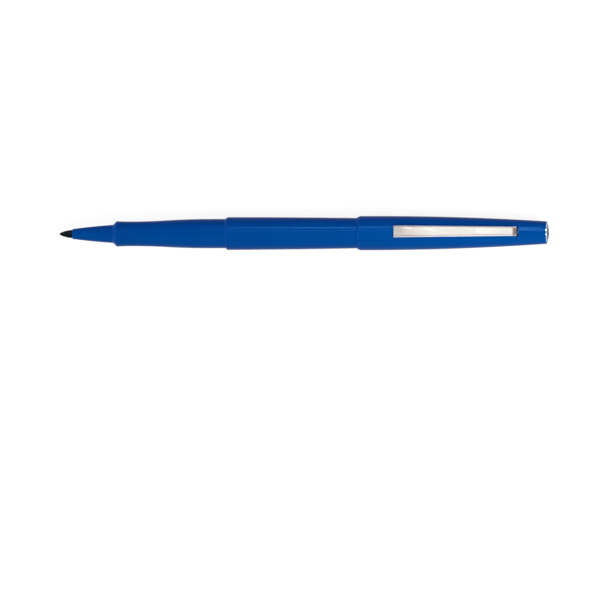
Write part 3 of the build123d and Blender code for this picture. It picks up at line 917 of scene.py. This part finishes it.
# %% End plug
low, high = (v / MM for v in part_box("end_plug"))
PLUG_HEAD, PLUG_SKIRT, PLUG_BORE = high.z, 3.28, 2.48
PLUG_FLOOR_X, DIMPLE_RADIUS, DIMPLE_DEPTH = high.x - 1.4, 0.8, 0.25
plug_corners = [
    (PLUG_FLOOR_X, 0.0, 0.0),
    (PLUG_FLOOR_X, PLUG_BORE, 0.1),
    (low.x, PLUG_BORE, 0.05),
    (low.x, PLUG_SKIRT, 0.1),
    (TAIL_X, PLUG_SKIRT, 0.05),
    (TAIL_X, PLUG_HEAD, 0.05),
    (high.x, PLUG_HEAD, 0.25),
    (high.x, DIMPLE_RADIUS, 0.1),
    (high.x - DIMPLE_DEPTH, 0.0, 0.0),
]
turned_piece("tail_plug", plug_corners, blue_plastic, "end_plug", "pen")

# %% [markdown]
# ## Cap shell
# The cap starts with a short straight mouth and then tapers in one long arc to its closed end, where the
# metal button sits in a shallow seat. Its inside is stepped for the barrel, the liner and the button's
# stem. Near the end a slot lets the clip's tang through, so the outline gets a station at each end of it.

# %% Cap outline
low, high = (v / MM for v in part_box("cap_shell"))
CAP_RADIUS, CAP_END_RADIUS, CAP_BORE = high.y, 3.46, 4.71
CAP_LIP_X, TAPER_X, CAP_END_X = 92.25, 96.0, high.x
LEDGE_X, LEDGE_RADIUS, POCKET_RADIUS, TAIL_POCKET = 126.15, 4.1426, 3.785, 2.94
CONE_X, NOSE_POCKET_X, POCKET_END_X = 132.95, 135.45, 143.95
STEM_BORE, STEM_X, SEAT_X, SEAT_WALL = 1.62, 145.2, 149.05, 3.21
SLOT_FROM, SLOT_TO, SLOT_HALF, SLOT_CLEAR = 140.32, 141.03, 1.58, 0.2
back_arc = tangent_arc((TAPER_X, CAP_RADIUS), (CAP_END_X, CAP_END_RADIUS), (1, 0), 54)
bore_arc = tangent_arc((TAPER_X, CAP_BORE), (LEDGE_X, LEDGE_RADIUS), (1, 0), 24)[::-1]
slot_at = np.array([SLOT_FROM, SLOT_TO])
slot_outer = np.c_[slot_at, np.interp(slot_at, *back_arc.T)]
clear = (back_arc[:, 0] < SLOT_FROM - SLOT_CLEAR) | (back_arc[:, 0] > SLOT_TO + SLOT_CLEAR)
outer = np.vstack([back_arc[clear], slot_outer])
outer = outer[np.argsort(outer[:, 0])]
cap_corners = [
    (POCKET_END_X, 0.0, 0.0),
    (POCKET_END_X, TAIL_POCKET, 0.1),
    (SLOT_TO, TAIL_POCKET, 0.0),
    (SLOT_FROM, TAIL_POCKET, 0.0),
    (NOSE_POCKET_X, TAIL_POCKET, 0.1),
    (CONE_X, POCKET_RADIUS, 0.1),
    (LEDGE_X, POCKET_RADIUS, 0.05),
    *smooth(bore_arc[:-1]),
    (TAPER_X, CAP_BORE, 0.0),
    (low.x, CAP_BORE, 0.08),
    (low.x, CAP_BORE + LIP_RISE, 0.05),
    (CAP_LIP_X, CAP_RADIUS, 0.5),
    *smooth(outer[:-1]),
    (CAP_END_X, CAP_END_RADIUS, 0.125),
    (CAP_END_X, SEAT_WALL, 0.06),
    (SEAT_X, SEAT_WALL, 0.05),
    (SEAT_X, STEM_BORE, 0.05),
    (STEM_X, STEM_BORE, 0.05),
    (STEM_X, 0.0, 0.0),
]
cap_outline, cap_mask = rounded(cap_corners)
print("cap outline has", len(cap_outline), "points")

# %% [markdown]
# The slot is made in the grid itself. Close to it, the columns are drawn together until two of them run
# along its sides; the other columns spread to fill the rest of the turn. The faces between those two are
# then left out of the outer and the inner wall. A Boolean could cut the slot too, but it leaves ragged
# faces that shade badly on a glossy skin.

# %% Cap grid with its slot
SLOT_COLUMNS = 9
slot_edge = SLOT_COLUMNS * 2 * pi / COLUMNS
around = (ROUND + pi) % (2 * pi) - pi
at_slot = (cap_outline[:, 0] > SLOT_FROM - NEAR) & (cap_outline[:, 0] < SLOT_TO + NEAR)
slot_radius = np.maximum(cap_outline[:, 1], SLOT_HALF)
slot_angle = np.where(at_slot, np.arcsin(SLOT_HALF / slot_radius), slot_edge)
near = slot_angle[:, None] / slot_edge
far = (pi - slot_angle[:, None]) / (pi - slot_edge)
inside = np.abs(around) <= slot_edge + TINY
drawn = np.where(inside, around * near, np.sign(around) * (pi - (pi - np.abs(around)) * far))
cap_points = ring_grid(cap_outline, drawn)
cap_faces, cap_number = ring_faces(cap_points, False)
inner_to, inner_from, outer_from, outer_to = np.flatnonzero(at_slot)
gap = np.arange(-SLOT_COLUMNS, SLOT_COLUMNS) % COLUMNS
keep = np.ones(cap_faces.shape[:2], bool)
keep[inner_to, gap] = False
keep[outer_from, gap] = False
print("the slot leaves out", int((~keep).sum()), "faces")

# %% [markdown]
# Four small walls join the two gaps: one across each end of the slot and one along each side. They use
# the vertices that are there already, so the shell stays closed.


# %% Cap shell
def wall(first, second):
    """Quads between two rows of vertex numbers of equal length."""
    return np.stack([first[:-1], first[1:], second[1:], second[:-1]], -1)


sides = np.arange(-SLOT_COLUMNS, SLOT_COLUMNS + 1) % COLUMNS
slot_rows = (inner_to, inner_from, outer_from, outer_to)
in_to, in_from, out_from, out_to = (cap_number[row, sides] for row in slot_rows)
walls = [
    wall(in_from, out_from),
    wall(out_to, in_to),
    wall(np.array([out_from[0], out_to[0]]), np.array([in_from[0], in_to[0]])),
    wall(np.array([in_from[-1], in_to[-1]]), np.array([out_from[-1], out_to[-1]])),
]
all_faces = np.vstack([cap_faces[keep], *walls])
cap_rub = np.repeat(cap_mask, COLUMNS)
make_piece("cap_tube", cap_points.reshape(-1, 3), all_faces, blue_plastic,
           "cap", "cap_shell", cap_rub)

# %% [markdown]
# ## Cap button
# A domed metal head on a short stem. Its edge is rounded over, so a bright ring shows round the dome.

# %% Cap button
low, high = (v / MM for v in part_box("cap_jewel"))
BUTTON_RADIUS, BUTTON_STEM, BUTTON_EDGE_X = high.z, 1.6, 149.5
dome = tangent_arc((high.x, 0.0), (BUTTON_EDGE_X, BUTTON_RADIUS), (0, 1), 24)[::-1]
button_corners = [
    (low.x, 0.0, 0.0),
    (low.x, BUTTON_STEM, 0.15),
    (SEAT_X, BUTTON_STEM, 0.05),
    (SEAT_X, BUTTON_RADIUS, 0.05),
    (BUTTON_EDGE_X, BUTTON_RADIUS, 0.12),
    *smooth(dome[1:]),
]
turned_piece("cap_button", button_corners, button_metal, "cap_jewel", "cap")

# %% [markdown]
# ## Clip
# The clip is one strip of metal on a path: up out of the slot, over a bend, along the cap while it slowly
# widens, and down over a soft kink to the foot that rests close to the cap. A strip that is bent by a
# modifier would do for a drawing, but here the bend, the kink and the foot have to lie where the CAD clip
# has them. So the path is worked out from those three, as straight runs and arcs that touch.

# %% Corners of the clip's path
BEND = np.array([139.25, 3.6820])
KINK = np.array([106.15, 5.6758])
FOOT = np.array([103.15, 5.3081])
BEND_RADIUS, KINK_RADIUS, TANG_END_Z = 1.2, 10.0, 2.74
to_kink = KINK - BEND
rise_angle = atan2(to_kink[1], -to_kink[0]) - asin(BEND_RADIUS / hypot(*to_kink))
dip_angle = atan2(KINK[1] - FOOT[1], KINK[0] - FOOT[0])
kink_reach = KINK_RADIUS * tan((rise_angle + dip_angle) / 2)
strip_length = sqrt(to_kink @ to_kink - BEND_RADIUS**2) - kink_reach
foot_length = hypot(*(KINK - FOOT)) - kink_reach
print("the strip rises", round(rise_angle, 3), "and its foot dips", round(dip_angle, 3), "radians")

# %% [markdown]
# Each point of the path has a direction that is up from the strip. On a straight run it stays the same,
# and on an arc it turns with the arc. It is kept as an angle from straight up.


# %% Clip path
def upright(angle):
    """Up from the strip, for an angle measured from straight up towards the free end."""
    return np.stack([-np.sin(angle), np.cos(angle)], -1)


bend_turn = np.linspace(-pi / 2, -rise_angle, 16)
bend = BEND + BEND_RADIUS * upright(bend_turn)
tang = np.c_[np.full(6, bend[0, 0]), np.linspace(TANG_END_Z, bend[0, 1], 6)][:-1]
strip_way = np.array([-cos(rise_angle), sin(rise_angle)])
strip = bend[-1] + np.linspace(0, strip_length, 40)[1:, None] * strip_way
kink_turn = np.linspace(-rise_angle, dip_angle, 10)
kink_centre = strip[-1] - KINK_RADIUS * upright(np.array(-rise_angle))
kink = (kink_centre + KINK_RADIUS * upright(kink_turn))[1:]
foot_way = np.array([-cos(dip_angle), -sin(dip_angle)])
foot = kink[-1] + np.linspace(0, foot_length, 10)[1:, None] * foot_way
clip_path = np.vstack([tang, bend, strip, kink, foot])
clip_turn = np.concatenate([
    np.full(len(tang), -pi / 2),
    bend_turn,
    np.full(len(strip), -rise_angle),
    kink_turn[1:],
    np.full(len(foot), dip_angle),
])
walked = np.r_[0, np.cumsum(np.hypot(*np.diff(clip_path, axis=0).T))]
print("clip path is", round(walked[-1], 2), "mm long")

# %% [markdown]
# The strip's cross-section is flat below, both upper edges slope down, and the middle is pressed in a
# little, which stiffens the strip and draws a fine line along each side. Half of it is written as a small
# outline and mirrored. Carried along the path, it adds its height along the direction that is up from the
# strip, and its width sideways.

# %% Clip
ROOT_WIDTH, FREE_WIDTH, THICKNESS = 2.82, 3.57, 0.449
EDGE_HEIGHT, BEVEL_WIDTH, PANEL_WALL, PANEL_DEPTH = 0.19, 0.34, 0.18, 0.1
HALF_REACH = 1.2
half_section, half_rub = rounded([
    (HALF_REACH, 0.0, 0.0),
    (0.0, 0.0, 0.05),
    (0.0, EDGE_HEIGHT, 0.08),
    (BEVEL_WIDTH, THICKNESS, 0.0),
    (BEVEL_WIDTH + PANEL_WALL, THICKNESS - PANEL_DEPTH, 0.0),
    (HALF_REACH, THICKNESS - PANEL_DEPTH, 0.0),
])
inset, raised = np.vstack([half_section, half_section[::-1]]).T
side = np.repeat([1.0, -1.0], len(half_section))
strip_start = len(tang) + len(bend) - 1
strip_ends = walked[[strip_start, strip_start + len(strip)]]
half_width = np.interp(walked, strip_ends, [ROOT_WIDTH / 2, FREE_WIDTH / 2])
sideways = side * (half_width[:, None] - inset)
lifted = clip_path[:, None] + raised[:, None] * upright(clip_turn)[:, None]
clip_points = np.stack([lifted[..., 0], sideways, lifted[..., 1]], -1) * MM
rows, columns = clip_points.shape[:2]
number = np.arange(rows * columns).reshape(rows, columns)
ahead = np.roll(number, -1, 1)
clip_faces = [*np.stack([number[:-1], number[1:], ahead[1:], ahead[:-1]], -1).reshape(-1, 4)]
clip_faces += [number[0], number[-1, ::-1]]
clip_rub = np.tile(np.r_[half_rub, half_rub[::-1]], rows)
make_piece("clip_strip", clip_points.reshape(-1, 3), clip_faces, clip_metal,
           "clip", "clip", clip_rub)

# %% [markdown]
# ## Inner pieces
# The sleeve, the ink core, its film and the cap's liner keep their CAD shape, which is right as it is.
# They only get their finishes.

# %% Inner pieces
inner_finishes = {
    "nib_sleeve": natural_plastic,
    "cap_liner": natural_plastic,
    "ink_reservoir": ink_fibre,
    "reservoir_film": clear_film,
}
for name, material in inner_finishes.items():
    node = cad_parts[name]
    node.data.materials.clear()
    node.data.materials.append(material)
    print(name, "gets", material.name)
